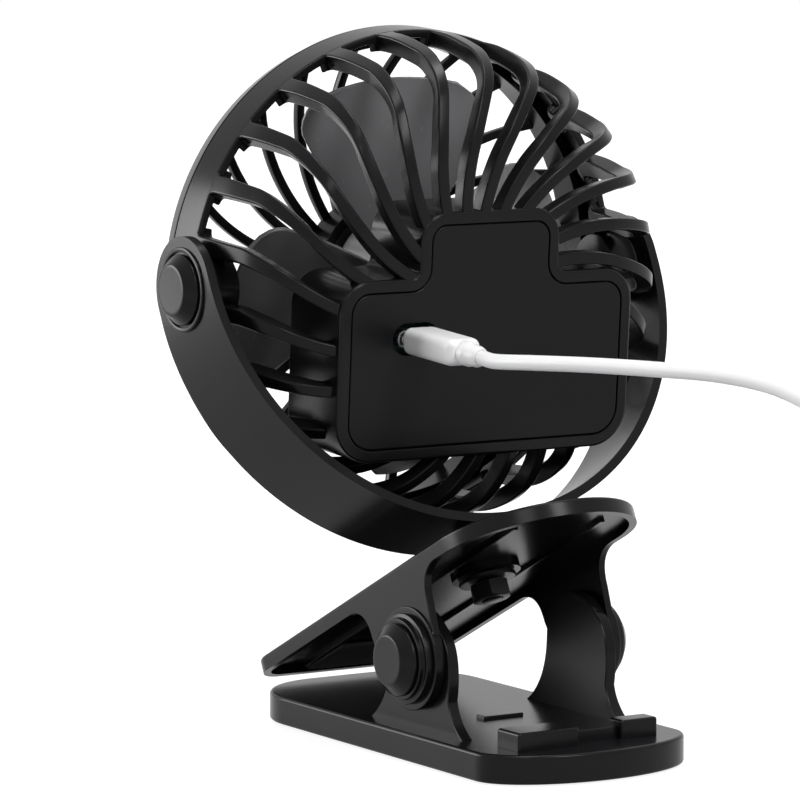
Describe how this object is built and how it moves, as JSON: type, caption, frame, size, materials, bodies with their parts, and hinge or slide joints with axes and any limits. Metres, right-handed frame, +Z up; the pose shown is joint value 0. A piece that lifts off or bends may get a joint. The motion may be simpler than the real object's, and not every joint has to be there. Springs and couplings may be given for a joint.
{
  "type": "clip fan",
  "caption": "Rechargeable clip-on desk fan: spring clip foot, swivelling yoke, tilting round head with a swirled rib cage and a plugged charging lead",
  "frame": {"origin": "the middle of the underside of the clip's foot", "axes": "+Z up, +Y to the back of the fan where the lead plugs in, +X to the side; the fan blows towards -Y"},
  "size_m": [0.1524, 0.2932, 0.1824],
  "materials": {
    "black_shell": "satin black moulded plastic",
    "black_panel": "fine matt black moulded plastic",
    "blade_grey": "satin dark grey moulded plastic",
    "rubber": "matt black rubber",
    "steel": "bright plated steel",
    "motor_can": "zinc plated steel",
    "white_plastic": "satin white plastic",
    "white_cord": "smooth white cord jacket",
    "green_board": "solder mask over glass fibre",
    "cell_wrap": "cell with a plastic wrap"
  },
  "bodies": {
    "foot": {"base_plate": "black_shell", "base_pad": "rubber", "hinge_pin_near": "steel", "hinge_pin_far": "steel", "cord_coil": "white_cord", "usb_a_grip": "white_plastic", "usb_a_shell": "steel"},
    "jaw": {"upper_jaw": "black_shell", "jaw_pad": "rubber", "hinge_cap_near": "black_shell", "hinge_cap_far": "black_shell", "clip_spring_near": "steel", "clip_spring_far": "steel"},
    "yoke": {"yoke": "black_shell", "swivel_screw": "steel", "stem_washer": "steel", "stem_nut": "steel", "pivot_cap_near": "black_shell", "pivot_cap_far": "black_shell", "pivot_washer_near": "rubber", "pivot_washer_far": "rubber"},
    "head": {"rear_shell": "black_shell", "rear_cover": "black_panel", "battery": "cell_wrap", "circuit_board": "green_board", "usb_socket": "steel", "front_grille": "black_shell", "switch_board": "green_board", "motor": "motor_can", "pivot_screw_near": "steel", "pivot_screw_far": "steel", "usb_plug": "white_plastic", "plug_tongue": "steel", "charging_cord": "white_cord"},
    "rotor": {"impeller": "blade_grey", "motor_shaft": "steel"},
    "button": {"power_button": "black_panel"}
  },
  "joints": [
    {"name": "clip_open", "type": "hinge", "parent": "foot", "child": "jaw", "pos_m": [0, 0.0145, 0.0256], "axis": [-1, 0, 0], "range_deg": [0, 32], "stiffness_Nm_per_rad": 0.8, "springref_deg": -34.38, "deforming": ["charging_cord"]},
    {"name": "yoke_swivel", "type": "hinge", "parent": "jaw", "child": "yoke", "pos_m": [0, 0.00593, 0.04711], "axis": [0, -0.4352, 0.9003], "continuous": true, "deforming": ["charging_cord"]},
    {"name": "head_tilt", "type": "hinge", "parent": "yoke", "child": "head", "pos_m": [0, -0.02799, 0.11729], "axis": [1, 0, 0], "range_deg": [-33, 60], "deforming": ["charging_cord"]},
    {"name": "blade_spin", "type": "hinge", "parent": "head", "child": "rotor", "pos_m": [0, -0.02799, 0.11729], "axis": [0, -0.9976, 0.0698], "continuous": true},
    {"name": "button_press", "type": "slide", "parent": "head", "child": "button", "axis": [0, 0.9976, -0.0698], "range_m": [0, 0.0012], "stiffness_N_per_m": 400, "springref_m": -0.0005}
  ]
}
